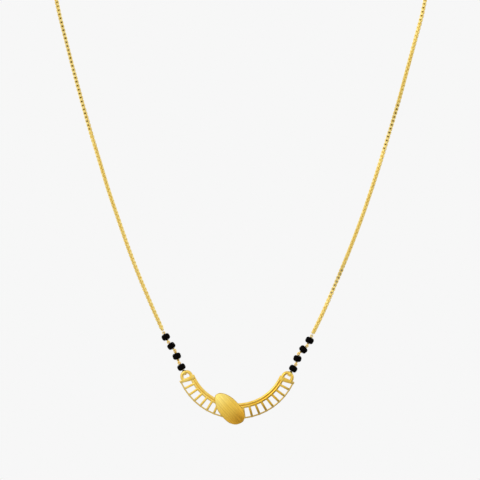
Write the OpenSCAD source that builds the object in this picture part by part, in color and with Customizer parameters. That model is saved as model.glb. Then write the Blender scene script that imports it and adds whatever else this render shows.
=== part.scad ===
// A short mangalsutra: a gold half-ring pendant with a leaf, four black beads
// on each side, and a fine box chain that meets in a ring clasp at the nape.
// +Z is up, the front faces -Y, and the origin is where the chain sits on the nape.

/* [Pendant] */
// Radius of the thin outer wire, at its middle
wire_r = 18.15; // [17.6:0.05:19]
// Thickness of the thin outer wire
wire_d = 0.45; // [0.3:0.05:0.7]
// Radius at the middle of the band of two ridges
band_r = 14.55; // [14.2:0.05:15]
// Thickness of each ridge of the band
ridge_d = 0.85; // [0.8:0.05:0.95]
// Distance between the middles of the two ridges
ridge_step = 0.75; // [0.6:0.05:0.75]
// Width of a rung
rung_w = 0.7; // [0.5:0.05:0.9]
// Depth of the rungs and end bars from front to back
rung_depth = 0.9; // [0.7:0.05:1]
// Angle from one rung to the next
rung_step = 7.2; // [7:0.1:7.4]
// How much more each rung leans to its end of the pendant than the one before
rung_lean = 0.6; // [0:0.1:1]
// Rungs on each side of the middle one
rungs = 8; // [7:1:9]
// Width of the bar at each end of the pendant, at the outer wire
end_bar_w = 0.75; // [0.65:0.05:0.8]
// Width of the same bar at the band
end_bar_root = 1.3; // [1.1:0.05:1.4]
// Turn of the pendant on the chain, clockwise from the front
pendant_turn = 0.6; // [0:0.1:1.5]

/* [Half rings on the end bars] */
// Radius of the half ring, at the middle of its wire
dring_r = 1.38; // [1.36:0.01:1.45]
// Thickness of the half ring's wire
dring_wire = 1; // [0.8:0.05:1]
// Distance of the half ring's middle from the middle of the arcs
dring_at = 16; // [15.9:0.05:16.1]
// Length of the half ring's straight legs
dring_leg = 0.85; // [0.8:0.05:0.9]

/* [Leaf] */
// Middle of the leaf across, from the middle of the arcs
leaf_x = -2.3; // [-3:0.1:-1.5]
// Middle of the leaf in height, from the middle of the arcs
leaf_z = -15.35; // [-16:0.05:-15]
// Slope of the leaf's long axis, down to the right
leaf_slope = 47; // [40:1:55]
// Where the back of the leaf lies in front of the middle of the frame
leaf_back = 0.15; // [0.1:0.05:0.2]
// Where the highest point of the leaf lies in front of the middle of the frame
leaf_crown = 1.5; // [1.4:0.1:2]
// Radius of the dome along the leaf
dome_along = 18; // [16:1:30]
// Radius of the dome across the leaf
dome_across = 6.2; // [5.8:0.1:8]

/* [Black beads] */
// Diameter of a bead
bead_d = 2.45; // [2.3:0.05:2.5]
// Length of a bead along the string
bead_len = 1.85; // [1.6:0.05:1.85]
// Radius of a bead's rounded rims
bead_round = 0.7; // [0.5:0.05:0.7]
// Diameter of the hole through a bead
bead_hole = 0.6; // [0.55:0.05:0.7]

/* [Eye pins] */
// Thickness of the pin wire
pin_wire = 0.29; // [0.2:0.01:0.3]
// Radius of an eye, at the middle of its wire
eye_r = 0.34; // [0.33:0.01:0.35]
// How far two linked eyes pull from each other's middle
eye_pull = 0.01; // [0:0.01:0.02]
// Diameter of the wire wrapped round a pin at both ends of its bead
wrap_d = 0.85; // [0.84:0.01:0.9]
// Radius of the large eye that holds the half ring, at the middle of its strip
big_eye_r = 0.7; // [0.69:0.01:0.72]
// Width of the large eye's strip
big_eye_w = 0.8; // [0.5:0.05:0.8]
// Thickness of the large eye's strip
big_eye_wall = 0.2; // [0.15:0.01:0.2]

/* [Chain and clasp] */
// Width of the box chain
chain_w = 1.1; // [0.9:0.1:1.2]
// Radius of the clasp ring, at the middle of its tube
clasp_r = 2.2; // [2:0.1:2.4]
// Thickness of the clasp ring's tube
clasp_wire = 1; // [0.8:0.05:1]
// Radius of the small eye on the clasp, at the middle of its wire
tail_r = 0.6; // [0.58:0.01:0.65]
// Thickness of the wire of the small eye on the clasp
tail_wire = 0.45; // [0.4:0.05:0.5]
// Radius of a jump ring, at the middle of its wire
jump_r = 1; // [1:0.01:1.1]
// Thickness of the wire of a jump ring
jump_wire = 0.3; // [0.25:0.05:0.3]
// Gap left between pieces that hang in each other
slack = 0.05; // [0.03:0.01:0.06]

/* [Hidden] */
$fn = 48;
SIDES = ["left", "right"];
BEADS = 4;

gold = [0.86, 0.68, 0.22];
satin_gold = [0.93, 0.76, 0.32];
black_glass = [0.03, 0.03, 0.03];

// The nape, from the middle of the pendant's arcs, as [right, back, up]
nape = [1, 47.5, 131.5];

end_angle = rung_step * (rungs + 1);
band_w = ridge_step + ridge_d;
end_bar_past_wire = 0.35;
end_bar_to = wire_r + end_bar_past_wire;
end_bar_rise = 0.5;
rung_from = band_r + ridge_step / 2;
rung_past_wire = 0.03;
rung_to = wire_r + wire_d / 2 + rung_past_wire;

// Where one eye hangs in the next, from the chain down, as [right, up]
// from the middle of the arcs. The last pin ends on the half ring.
links_left = [[-21.63, 6.96], [-20.22, 4.17], [-18.34, 1.71], [-17.1, -1.9]];
links_right = [[21.89, 6.02], [20.53, 3.09], [18.09, 0.79], [17.24, -2.39]];

// The front of the chain: [height, left chain, right chain]
front_rows = [
    [13.5, -24.55, 25.5],
    [22.5, -28.4, 29.4],
    [31, -31.7, 32.9],
    [40, -34.85, 36.35],
    [49, -37.9, 39.45],
    [57.5, -40.5, 42.2],
    [66.5, -43.25, 44.95],
    [75.5, -45.8, 47.6],
    [84, -48.1, 49.9],
    [93, -50.4, 52.35],
    [101.5, -52.5, 54.6]
];
// The chain round the neck: [half the width there, back, height]
neck_rows = [
    [55.2, 1.5, 110],
    [56.2, 6.5, 117],
    [55.6, 14, 122.5],
    [52.8, 22.5, 126],
    [47.5, 30.5, 128.5],
    [40, 37.5, 130],
    [31, 42.5, 131],
    [21.5, 45.5, 131.5],
    [12, 47, 131.5]
];
tube_sides = 8;
rings_per_row = 2;

// Outline of the leaf along and across its long axis
leaf_outline = [
    [-5.7, 0.1], [-5.05, 1.35], [-3.5, 2.3], [-1.4, 2.87], [1, 2.9],
    [3.25, 2.6], [4.85, 1.7], [5.5, 0.15], [4.7, -1.8], [2.85, -2.95],
    [0.3, -3.15], [-2, -2.85], [-4.05, -1.95], [-5.35, -0.9]
];
leaf_steps = 3;

// How far the wrapping reaches past the middle of an eye's wire
wrap_tuck = 0.08;
// How far an eye is sunk into the piece that it is soldered to
end_eye_tuck = 0.1;
tail_tuck = 0.05;

// Places of the clasp and its rings across the nape, worked out from the chain ends
left_end = -5;
left_eye = left_end + eye_r + pin_wire / 2 - end_eye_tuck;
jump_hold = jump_r - jump_wire / 2 - slack;
left_jump = left_eye + eye_r + jump_hold - pin_wire / 2;
tail_x = left_jump + jump_hold - tail_wire / 2 + tail_r;
clasp_x = tail_x + tail_r + clasp_r + (clasp_wire - tail_wire) / 2 - tail_tuck;
right_jump = clasp_x + clasp_r + jump_hold - clasp_wire / 2;
right_eye = right_jump + jump_hold - pin_wire / 2 + eye_r;
right_end = right_eye + eye_r + pin_wire / 2 - end_eye_tuck;

function unit(v) = v / norm(v);
function tilt_of(v) = atan2(v[0], v[1]);
function spline(p, q, r, s, t) =
    (2 * q + (r - p) * t + (2 * p - 5 * q + 4 * r - s) * t * t
    + (3 * q - p - 3 * r + s) * t * t * t) / 2;
function open_curve(pts, steps) = let (n = len(pts) - 1) [
    for (i = [0:n - 1], k = [0:steps - 1])
        spline(pts[max(i - 1, 0)], pts[i], pts[i + 1], pts[min(i + 2, n)], k / steps),
    pts[n]
];
function closed_curve(pts, steps) = let (n = len(pts)) [
    for (i = [0:n - 1], k = [0:steps - 1])
        spline(pts[(i + n - 1) % n], pts[i], pts[(i + 1) % n], pts[(i + 2) % n], k / steps)
];

// Where the half ring is centred and where the last pin holds it
function way(side) = side == "left" ? -1 : 1;
function links(side) = side == "left" ? links_left : links_right;
function dring_middle(side) =
    let (down = end_angle - way(side) * pendant_turn, w = way(side))
    dring_at * [w * sin(down), -cos(down)] + dring_leg * [w * cos(down), sin(down)];
function dring_hold(side) =
    let (m = dring_middle(side)) m + dring_r * unit(links(side)[BEADS - 1] - m);
function all_links(side) = concat(links(side), [dring_hold(side)]);

// Direction of the lowest stretch of chain, and the route of the whole chain
function front_side(row, side) = side == "left" ? row[1] : row[2];
function chain_lean(side) =
    unit([front_side(front_rows[0], side), front_rows[0][0]] - links(side)[0]);
function flat_to_space(p) = [p[0], 0, p[1]];
function chain_foot(side) = links(side)[0]
    + (eye_pull + 2 * eye_r + pin_wire / 2 - end_eye_tuck) * chain_lean(side);
function route(side) = concat(
    [flat_to_space(chain_foot(side)) - nape],
    [for (r = front_rows) [front_side(r, side), 0, r[0]] - nape],
    [for (r = neck_rows) [nape[0] + way(side) * r[0], r[1], r[2]] - nape],
    [[side == "left" ? left_end : right_end, 0, 0]]
);

// A swept tube: one ring of points at each point of the route, and two end faces
steady = [0, 1, -1];
function along(pts, i) = unit(pts[min(i + 1, len(pts) - 1)] - pts[max(i - 1, 0)]);
function tube_ring(middle, ahead, r) =
    let (aside = unit(cross(ahead, steady)), up = cross(aside, ahead))
    [for (k = [0:tube_sides - 1])
        let (a = 360 * (k + 0.5) / tube_sides) middle + r * (cos(a) * aside + sin(a) * up)];
function tube_points(pts, r) =
    [for (i = [0:len(pts) - 1]) each tube_ring(pts[i], along(pts, i), r)];
function tube_faces(rings) = let (n = tube_sides, last = (rings - 1) * n) concat(
    [[for (k = [0:n - 1]) k]],
    [for (i = [0:rings - 2], k = [0:n - 1])
        let (a = i * n + k, b = i * n + (k + 1) % n) each [[a, a + n, b], [b, a + n, b + n]]],
    [[for (k = [n - 1:-1:0]) last + k]]
);

// Rings: one that faces the front, one that is seen edge-on, one that lies flat
module ring_front(r, wire) {
    rotate([90, 0, 0]) ring_flat(r, wire);
}
module ring_edge(r, wire) {
    rotate([0, 90, 0]) ring_flat(r, wire);
}
module ring_flat(r, wire) {
    rotate_extrude() translate([r, 0]) circle(d = wire);
}
// A ring of flat strip, seen edge-on
module strip_edge(r, width, wall) {
    rotate([0, 90, 0]) rotate_extrude() translate([r, 0]) square([wall, width], center = true);
}

// Moves a piece from the middle of the arcs to its place below the nape
module from_arcs() {
    translate(-nape) children();
}

// The pendant is drawn lying down, front up, and then stood up
module arc_wire(r, d) {
    rotate([0, 0, -90 - end_angle]) rotate_extrude(angle = 2 * end_angle)
        translate([r, 0]) circle(d = d);
}
module band() {
    for (s = [-1, 1]) arc_wire(band_r + s * ridge_step / 2, ridge_d);
}
module rung(n) {
    rotate([0, 0, -90 + n * rung_step]) translate([(rung_from + rung_to) / 2, 0, 0])
        rotate([0, 0, n * rung_lean])
            cube([rung_to - rung_from, rung_w, rung_depth], center = true);
}
module half_ring() {
    translate([dring_at, dring_leg, 0]) rotate_extrude(angle = 180)
        translate([dring_r, 0]) circle(d = dring_wire);
    for (s = [-1, 1]) translate([dring_at + s * dring_r, 0, 0]) rotate([-90, 0, 0])
        cylinder(d = dring_wire, h = dring_leg);
}
module end_bar() {
    inside = band_r - band_w / 2;
    outside = band_r + band_w / 2;
    rotate([0, 0, -90 + end_angle]) {
        translate([0, 0, -rung_depth / 2]) linear_extrude(rung_depth) polygon([
            [inside, end_bar_rise - end_bar_root], [outside, end_bar_rise - end_bar_root],
            [end_bar_to, end_bar_rise - end_bar_w], [end_bar_to, end_bar_rise],
            [inside, end_bar_rise]
        ]);
        half_ring();
    }
}
module leaf() {
    translate([leaf_x, leaf_z, 0]) rotate([0, 0, -leaf_slope]) intersection() {
        translate([0, 0, leaf_back]) linear_extrude(leaf_crown)
            polygon(closed_curve(leaf_outline, leaf_steps));
        translate([0, 0, leaf_crown - dome_along]) rotate([90, 0, 0])
            rotate_extrude($fn = 180) translate([dome_along - dome_across, 0])
                circle(r = dome_across);
    }
}
module pendant() {
    color(gold) from_arcs() rotate([90, 0, 0]) {
        rotate([0, 0, -pendant_turn]) {
            band();
            arc_wire(wire_r, wire_d);
            for (n = [-rungs:rungs]) rung(n);
            end_bar();
            mirror([1, 0, 0]) end_bar();
        }
        color(satin_gold) leaf();
    }
}

// Stands a pin between two links, with its foot on the lower one
module on_links(side, n) {
    ends = all_links(side);
    foot = ends[n];
    from_arcs() translate(flat_to_space(foot)) rotate([0, tilt_of(ends[n - 1] - foot), 0])
        children();
}
function pin_length(side, n) = let (e = all_links(side)) norm(e[n - 1] - e[n]);
function foot_eye_r(n) = n == BEADS ? big_eye_r : eye_r;
// Middle of the lower eye, above the lower link
function foot_eye_at(n) = n == BEADS
    ? (dring_wire + big_eye_wall) / 2 + slack - big_eye_r
    : eye_r + eye_pull;
// The lower and upper ends of the wire between the two eyes
function shank_from(n) = foot_eye_at(n) + foot_eye_r(n);
function shank_to(side, n) = pin_length(side, n) - eye_r;
function bead_at(side, n) = (shank_from(n) + shank_to(side, n)) / 2;

module bead(side, n) {
    half = bead_len / 2;
    core = bead_d / 2 - bead_round;
    color(black_glass) on_links(side, n) translate([0, 0, bead_at(side, n)])
        rotate_extrude() difference() {
            union() {
                translate([0, -half]) square([core, bead_len]);
                translate([0, bead_round - half])
                    square([bead_d / 2, bead_len - 2 * bead_round]);
                for (s = [-1, 1]) translate([core, s * (half - bead_round)])
                    circle(r = bead_round);
            }
            translate([-bead_d, -bead_len]) square([bead_d + bead_hole / 2, 2 * bead_len]);
        }
}
module wrapping(low, high) {
    translate([0, 0, low]) cylinder(d = wrap_d, h = high - low);
}
module eye_pin(side, n) {
    bead_end = bead_len / 2 + slack;
    color(gold) on_links(side, n) {
        translate([0, 0, foot_eye_at(n)]) {
            if (n < BEADS) ring_edge(eye_r, pin_wire);
            if (n == BEADS) strip_edge(big_eye_r, big_eye_w, big_eye_wall);
        }
        translate([0, 0, shank_from(n)])
            cylinder(d = pin_wire, h = shank_to(side, n) - shank_from(n));
        if (n < BEADS) wrapping(shank_from(n) - wrap_tuck, bead_at(side, n) - bead_end);
        wrapping(bead_at(side, n) + bead_end, shank_to(side, n) + wrap_tuck);
        translate([0, 0, pin_length(side, n)]) ring_front(eye_r, pin_wire);
    }
}

module chain(side) {
    path = open_curve(route(side), rings_per_row);
    lean = chain_lean(side);
    color(gold) {
        polyhedron(tube_points(path, chain_w / 2), tube_faces(len(path)));
        from_arcs() translate(flat_to_space(links(side)[0] + (eye_pull + eye_r) * lean))
            rotate([0, tilt_of(lean), 0]) ring_edge(eye_r, pin_wire);
        translate([side == "left" ? left_eye : right_eye, 0, 0]) ring_front(eye_r, pin_wire);
    }
}

module clasp() {
    color(gold) {
        translate([clasp_x, 0, 0]) ring_front(clasp_r, clasp_wire);
        translate([tail_x, 0, 0]) ring_front(tail_r, tail_wire);
    }
}
module jump_ring(side) {
    color(gold) translate([side == "left" ? left_jump : right_jump, 0, 0])
        ring_flat(jump_r, jump_wire);
}

pendant();
clasp();
for (s = SIDES) {
    chain(s);
    jump_ring(s);
    for (n = [1:BEADS]) {
        bead(s, n);
        eye_pin(s, n);
    }
}
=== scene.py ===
# %% [markdown]
# # A short mangalsutra in Blender
#
# A mangalsutra is a necklace of gold and small black beads. This one hangs from a fine box
# chain. Four black beads sit on each side of a gold pendant, an open half ring with straight
# rungs like a little ladder, and a satin leaf lies across it.
#
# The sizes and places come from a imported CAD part, which stays hidden under the pieces made
# here. Blender adds the edges, the wire bends and the finish. The frame is the CAD part's
# own: +Z is up, the front faces -Y, and the origin is at the nape.

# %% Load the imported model
import math

import bmesh
import bpy
from mathutils import Matrix, Vector


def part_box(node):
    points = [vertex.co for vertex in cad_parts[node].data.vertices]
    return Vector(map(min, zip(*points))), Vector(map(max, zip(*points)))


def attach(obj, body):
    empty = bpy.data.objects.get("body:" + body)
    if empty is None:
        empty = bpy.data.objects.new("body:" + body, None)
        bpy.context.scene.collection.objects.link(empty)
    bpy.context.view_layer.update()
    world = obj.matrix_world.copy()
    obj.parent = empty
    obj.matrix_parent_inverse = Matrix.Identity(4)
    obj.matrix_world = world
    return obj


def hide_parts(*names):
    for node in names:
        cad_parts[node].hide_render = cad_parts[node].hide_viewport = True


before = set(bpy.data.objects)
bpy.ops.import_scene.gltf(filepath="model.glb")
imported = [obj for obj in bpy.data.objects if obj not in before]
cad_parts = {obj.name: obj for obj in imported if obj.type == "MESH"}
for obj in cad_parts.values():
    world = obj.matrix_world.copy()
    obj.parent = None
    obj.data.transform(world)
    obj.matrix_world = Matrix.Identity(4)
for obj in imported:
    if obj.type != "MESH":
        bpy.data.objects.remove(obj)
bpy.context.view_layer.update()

print("solids in the CAD part:", len(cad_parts))

# %% [markdown]
# ## The camera
#
# The photograph looks straight at the necklace from far off, as a long lens does. The focal
# length follows from the width that the picture takes in at the pendant, the distance and the
# width of the sensor. The Standard view keeps the backdrop as white as in the photograph.

# %% Camera
PICTURE_WIDTH = 0.14118
CAMERA_DISTANCE = 0.7
PICTURE_MIDDLE = Vector((-0.00018, -0.0475, -0.09726))
SENSOR_WIDTH = 36
NEAREST_SEEN = 0.01


def deselect_all():
    """Operators act on all that is selected, and loading leaves the solids selected."""
    bpy.ops.object.select_all(action="DESELECT")


def named(name):
    """Name the object that an operator has just made, and its data."""
    made = bpy.context.object
    made.name = name
    made.data.name = name
    return made


deselect_all()
bpy.ops.object.camera_add(
    location=PICTURE_MIDDLE - Vector((0, CAMERA_DISTANCE, 0)),
    rotation=(math.radians(90), 0, 0),
)
camera = named("front_camera")
camera.data.sensor_width = SENSOR_WIDTH
camera.data.lens = SENSOR_WIDTH * CAMERA_DISTANCE / PICTURE_WIDTH
camera.data.clip_start = NEAREST_SEEN
bpy.context.scene.camera = camera
bpy.context.scene.view_settings.view_transform = "Standard"
print("lens in mm:", round(camera.data.lens, 1))

# %% [markdown]
# ## The bench
#
# The finest wire here is 0.2 mm thick, and Blender's operators prefer numbers near one. So
# each piece is made on a bench where one unit counts as one millimetre, and is then shrunk
# and carried to its place.
#
# The pendant lies on the bench on its back: x is right, y is up the chest, z points at the
# viewer, and the origin is the middle of its arcs. `STAND_UP` lifts such a piece upright and
# hangs it below the nape. `HANG` does the same for a piece that was made upright.

# %% From the bench to the necklace
MM = 0.001
NAPE = Vector((1.0, 47.5, 131.5))


def shift(x, y, z):
    return Matrix.Translation((x, y, z))


def turn(degrees, axis):
    """A turn about the x, y or z axis by the right-hand rule."""
    return Matrix.Rotation(math.radians(degrees), 4, axis)


TO_METRES = Matrix.Scale(MM, 4)
HANG = Matrix.Translation(-NAPE * MM) @ TO_METRES
STAND_UP = HANG @ turn(90, "X")


def take_up(piece):
    """Select one piece alone, so that the next operator acts on nothing else."""
    deselect_all()
    piece.select_set(True)
    bpy.context.view_layer.objects.active = piece


def settle(piece, place=Matrix()):
    """Carry a piece to its place and write that place into its mesh."""
    take_up(piece)
    piece.matrix_basis = place @ piece.matrix_basis
    bpy.ops.object.transform_apply(location=True, rotation=True, scale=True)
    return piece


def copy_of(piece, name="copy"):
    """A second piece of the same shape with a mesh of its own."""
    take_up(piece)
    bpy.ops.object.duplicate(linked=False)
    return named(name)


def solder(name, parts):
    """Join several parts into one piece."""
    take_up(parts[0])
    for part in parts[1:]:
        part.select_set(True)
    bpy.ops.object.join()
    return named(name)


# %% [markdown]
# ## Selecting, cleaning and measuring
#
# A script has no mouse, so faces and edges are picked by a small test. A face whose normal is
# above `SQUARE` on an axis looks that way, one below `SIDEWAYS` stands beside it, and an edge
# that folds by more than `FOLD` radians is a real corner. After the last move `clean` merges
# doubled points and turns the faces outwards. `tell` prints the size and counts open edges,
# because a gap too small to see still spoils a reflection.

# %% Edit-mode helpers
WELD = 0.0005
SQUARE = 0.9
SIDEWAYS = 0.1
FOLD = 0.1
X, Z = 0, 2


def open_mesh(piece):
    take_up(piece)
    bpy.ops.object.mode_set(mode="EDIT")


def close_mesh():
    bpy.ops.object.mode_set(mode="OBJECT")


def begin(name, add, **form):
    """Add a primitive, write its place into its mesh and open it for editing."""
    deselect_all()
    add(**form)
    piece = settle(named(name))
    open_mesh(piece)
    return piece


def choose_all():
    bpy.ops.mesh.select_all(action="SELECT")


def choose(piece, kind, test):
    """Select the faces or edges that pass the test, and nothing else."""
    bpy.ops.mesh.select_mode(type=kind)
    bpy.ops.mesh.select_all(action="DESELECT")
    mesh = bmesh.from_edit_mesh(piece.data)
    chosen = [part for part in (mesh.faces if kind == "FACE" else mesh.edges) if test(part)]
    for part in chosen:
        part.select_set(True)
    bmesh.update_edit_mesh(piece.data)
    return len(chosen)


def round_off(piece, test, width, segments=3):
    """Bevel the edges that pass the test."""
    found = choose(piece, "EDGE", test)
    bpy.ops.mesh.bevel(offset=width, segments=segments, profile=0.5)
    print(f"{piece.name}: {found} edges bevelled")


def score(point, normal):
    """Add a line of edges where a plane crosses the piece, and leave it selected."""
    choose_all()
    bpy.ops.mesh.bisect(plane_co=point, plane_no=normal)


def pierce(piece, axis, *rims):
    """Inset the two faces that look along an axis, and bridge them into a hole."""
    choose(piece, "FACE", lambda face: abs(face.normal[axis]) > SQUARE)
    for rim in rims:
        bpy.ops.mesh.inset(thickness=rim)
    bpy.ops.mesh.bridge_edge_loops()


def press(shares, middle):
    """Resize what is selected towards a point."""
    bpy.ops.transform.resize(value=shares, center_override=middle)


# %% Cleaning and measuring
def clean(piece, smooth_degrees=40):
    """Merge doubled points, turn the faces outwards, leave edit mode and smooth the piece."""
    choose_all()
    bpy.ops.mesh.remove_doubles(threshold=WELD)
    bpy.ops.mesh.normals_make_consistent(inside=False)
    close_mesh()
    bpy.ops.object.shade_smooth_by_angle(angle=math.radians(smooth_degrees))
    return piece


def tell(piece, unit=1.0):
    """Print the size of a piece in millimetres, and how many faces and open edges it has."""
    mesh = bmesh.new()
    mesh.from_mesh(piece.data)
    spans = [[point.co[axis] for point in mesh.verts] for axis in range(3)]
    size = [round((max(span) - min(span)) / unit, 2) for span in spans]
    open_edges = sum(not edge.is_manifold for edge in mesh.edges)
    print(f"{piece.name}: {size} mm, {len(mesh.faces)} faces, {open_edges} open edges")
    mesh.free()


# %% [markdown]
# ## Wire
#
# Most of the pendant and every eye pin is wire, drawn straight or bent round a peg. A filled
# circle is the cut end of the wire. Extruding that face draws the wire out, and spinning it
# about a peg bends it. Both leave the new end selected, so the moves can follow each other. A
# spin turns the opposite way from the right-hand rule, hence the minus sign.

# %% Drawing and bending wire
WIRE_SIDES = 16


def cut_wire(name, thickness, start, heading, sides=WIRE_SIDES):
    """Begin a wire at a point. Its end stays selected, ready for the next move."""
    wire = begin(
        name,
        bpy.ops.mesh.primitive_circle_add,
        vertices=sides,
        radius=thickness / 2,
        fill_type="NGON",
        location=start,
        rotation=Vector(heading).to_track_quat("Z", "Y").to_euler(),
    )
    choose_all()
    return wire


def draw_out(move):
    bpy.ops.mesh.extrude_region_move(TRANSFORM_OT_translate={"value": move})


def bend(peg, axis, degrees, step):
    """Bend the wire's end round a peg by the right-hand rule, with a ring at every step."""
    bpy.ops.mesh.spin(
        steps=max(2, round(abs(degrees) / step)),
        angle=-math.radians(degrees),
        center=peg,
        axis=axis,
    )


def wire_arc(name, radius, thickness, first, sweep, step, sides=WIRE_SIDES):
    """A wire bent round the origin. The first angle, the sweep and the step are in degrees."""
    first = math.radians(first)
    start = (radius * math.cos(first), radius * math.sin(first), 0)
    wire = cut_wire(name, thickness, start, (-math.sin(first), math.cos(first), 0), sides)
    bend((0, 0, 0), (0, 0, 1), sweep, step)
    return clean(wire)


# %% [markdown]
# ## Pendant: the double band and the thin outer wire
#
# The inner edge of the pendant is a band of two round ridges with a groove between them, like
# two round wires side by side. The outer edge is one thin wire. Each of the three is a cut end
# of wire bent once round the same middle. A curve with a bevel would give the same arcs, but a
# spun wire ends in a flat face, which closes it inside the end bar.

# %% Band and outer wire
BAND_RADIUS = 14.55
RIDGE_STEP = 0.75
RIDGE_THICKNESS = 0.85
OUTER_RADIUS = 18.15
OUTER_THICKNESS = 0.45
RUNG_ANGLE = 7.2
RUNGS_EACH_SIDE = 8
END_ANGLE = RUNG_ANGLE * (RUNGS_EACH_SIDE + 1)
ARC_STEP = 1.5
STRAIGHT_DOWN = -90


def pendant_arc(name, radius, thickness):
    """A wire round the middle of the pendant, from its left end to its right end."""
    first = STRAIGHT_DOWN - END_ANGLE
    wire = wire_arc(name, radius, thickness, first, 2 * END_ANGLE, ARC_STEP)
    tell(wire)
    return wire


inner_ridge = pendant_arc("inner_ridge", BAND_RADIUS - RIDGE_STEP / 2, RIDGE_THICKNESS)
outer_ridge = pendant_arc("outer_ridge", BAND_RADIUS + RIDGE_STEP / 2, RIDGE_THICKNESS)
outer_wire = pendant_arc("outer_wire", OUTER_RADIUS, OUTER_THICKNESS)

# %% [markdown]
# ## Pendant: the rungs
#
# Seventeen straight bars join the band to the outer wire. Each has rounded edges and is filed
# down in two slopes to meet the thin wire.
#
# A cube is stretched to the bar, two bisects add the lines where the slopes start, and what
# lies beyond them is pressed together. A bevel rounds the four long edges. The bar is made
# once, pointing right, where its measures follow the axes. The rungs are copies of it, turned
# about the middle.

# %% One rung
RUNG_OVERLAP = 0.03
RUNG_FROM = BAND_RADIUS + RIDGE_STEP / 2
RUNG_TO = OUTER_RADIUS + OUTER_THICKNESS / 2 + RUNG_OVERLAP
RUNG_MIDDLE = (RUNG_FROM + RUNG_TO) / 2
RUNG_WIDTH = 0.7
RUNG_DEPTH = 0.9
FILED_FROM = 15.9
FILED_STEEPLY_FROM = 17.45
FILED_THERE = 0.85
FILED_END = 0.2
RUNG_ROUND = 0.14


def long_edge(edge):
    """An edge that runs along the bar at one of its four corners."""
    run = edge.verts[1].co - edge.verts[0].co
    return abs(run.x) > 2 * abs(run.z) and edge.calc_face_angle() > 1


rung = begin(
    "rung",
    bpy.ops.mesh.primitive_cube_add,
    size=1,
    location=(RUNG_MIDDLE, 0, 0),
    scale=(RUNG_TO - RUNG_FROM, RUNG_WIDTH, RUNG_DEPTH),
)
score((FILED_FROM, 0, 0), (1, 0, 0))
score((FILED_STEEPLY_FROM, 0, 0), (1, 0, 0))
press((1, 1, FILED_THERE), (RUNG_TO, 0, 0))
choose(rung, "FACE", lambda face: face.normal.x > SQUARE)
press((1, 1, FILED_END), (RUNG_TO, 0, 0))
round_off(rung, long_edge, RUNG_ROUND)
tell(clean(rung))

# %% [markdown]
# The rungs do not point quite at the middle of the arcs. Towards the ends of the pendant each
# leans a little more than the one before, so a copy is first turned about its own middle.

# %% The rest of the rungs
RUNG_LEAN = 0.6

rungs = []
for place in range(-RUNGS_EACH_SIDE, RUNGS_EACH_SIDE + 1):
    lean = shift(RUNG_MIDDLE, 0, 0) @ turn(place * RUNG_LEAN, "Z") @ shift(-RUNG_MIDDLE, 0, 0)
    rungs.append(settle(copy_of(rung), turn(STRAIGHT_DOWN + place * RUNG_ANGLE, "Z") @ lean))
bpy.data.objects.remove(rung)
print("rungs:", len(rungs))

# %% [markdown]
# ## Pendant: the end bars and their half rings
#
# A bar closes each end of the ladder, broad at the band and narrow at the thin wire. It is a
# cube again: a bisect marks where the band ends, and the inner corner at the wire is pushed
# up. On it stands a half ring for the last bead's wire: a straight leg, half a turn round a
# peg, and a second leg. The pair is made once, pointing right. Turned over about its own
# length it serves the left end, where the half ring stands on the other side.

# %% End bar with its half ring
BAND_HALF = (RIDGE_STEP + RIDGE_THICKNESS) / 2
END_BAR_FROM = BAND_RADIUS - BAND_HALF
END_BAR_TO = 18.5
END_BAR_ROOT = 1.3
END_BAR_WIDTH = 0.75
END_BAR_RISE = 0.5
END_BAR_ROUND = 0.14
HALF_RING_RADIUS = 1.38
HALF_RING_THICKNESS = 1.0
HALF_RING_MIDDLE = 16
HALF_RING_LEG = 0.85
HALF_RING_STEP = 9


def inner_corner(edge):
    """The upright edge at the bar's outer end, on the side of the rungs."""
    return all(point.co.x > END_BAR_TO - WELD and point.co.y < 0 for point in edge.verts)


end_bar = begin(
    "end_bar",
    bpy.ops.mesh.primitive_cube_add,
    size=1,
    location=((END_BAR_FROM + END_BAR_TO) / 2, END_BAR_RISE - END_BAR_ROOT / 2, 0),
    scale=(END_BAR_TO - END_BAR_FROM, END_BAR_ROOT, RUNG_DEPTH),
)
score((BAND_RADIUS + BAND_HALF, 0, 0), (1, 0, 0))
print("edges moved:", choose(end_bar, "EDGE", inner_corner))
bpy.ops.transform.translate(value=(0, END_BAR_ROOT - END_BAR_WIDTH, 0))
round_off(end_bar, lambda edge: edge.calc_face_angle() > FOLD, END_BAR_ROUND)
clean(end_bar)

half_ring_foot = (HALF_RING_MIDDLE + HALF_RING_RADIUS, 0, 0)
half_ring = cut_wire("half_ring", HALF_RING_THICKNESS, half_ring_foot, (0, 1, 0))
draw_out((0, HALF_RING_LEG, 0))
bend((HALF_RING_MIDDLE, HALF_RING_LEG, 0), (0, 0, 1), 180, HALF_RING_STEP)
draw_out((0, -HALF_RING_LEG, 0))
tell(clean(half_ring))

right_end = solder("right_end", [end_bar, half_ring])
left_end = settle(copy_of(right_end), turn(180, "X"))
settle(left_end, turn(STRAIGHT_DOWN - END_ANGLE, "Z"))
settle(right_end, turn(STRAIGHT_DOWN + END_ANGLE, "Z"))

# %% [markdown]
# ## Pendant: soldering the frame
#
# The parts are joined as one piece. They run a little way into each other where solder fills
# the joints of a real pendant. The frame hangs a touch clockwise, as in the photograph.

# %% The pendant's frame
PENDANT_TURN = -0.6

parts = [outer_ridge, inner_ridge, outer_wire, left_end, right_end, *rungs]
pendant_frame = solder("pendant_frame", parts)
settle(pendant_frame, STAND_UP @ turn(PENDANT_TURN, "Z"))
tell(pendant_frame, MM)

# %% [markdown]
# ## Smooth curves through a few points
#
# The outline of the leaf and the route of the chain are smooth curves through a few measured
# points. A Catmull-Rom curve leaves each point in the direction from the one before to the one
# after. The CAD part uses the same curve.

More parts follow.
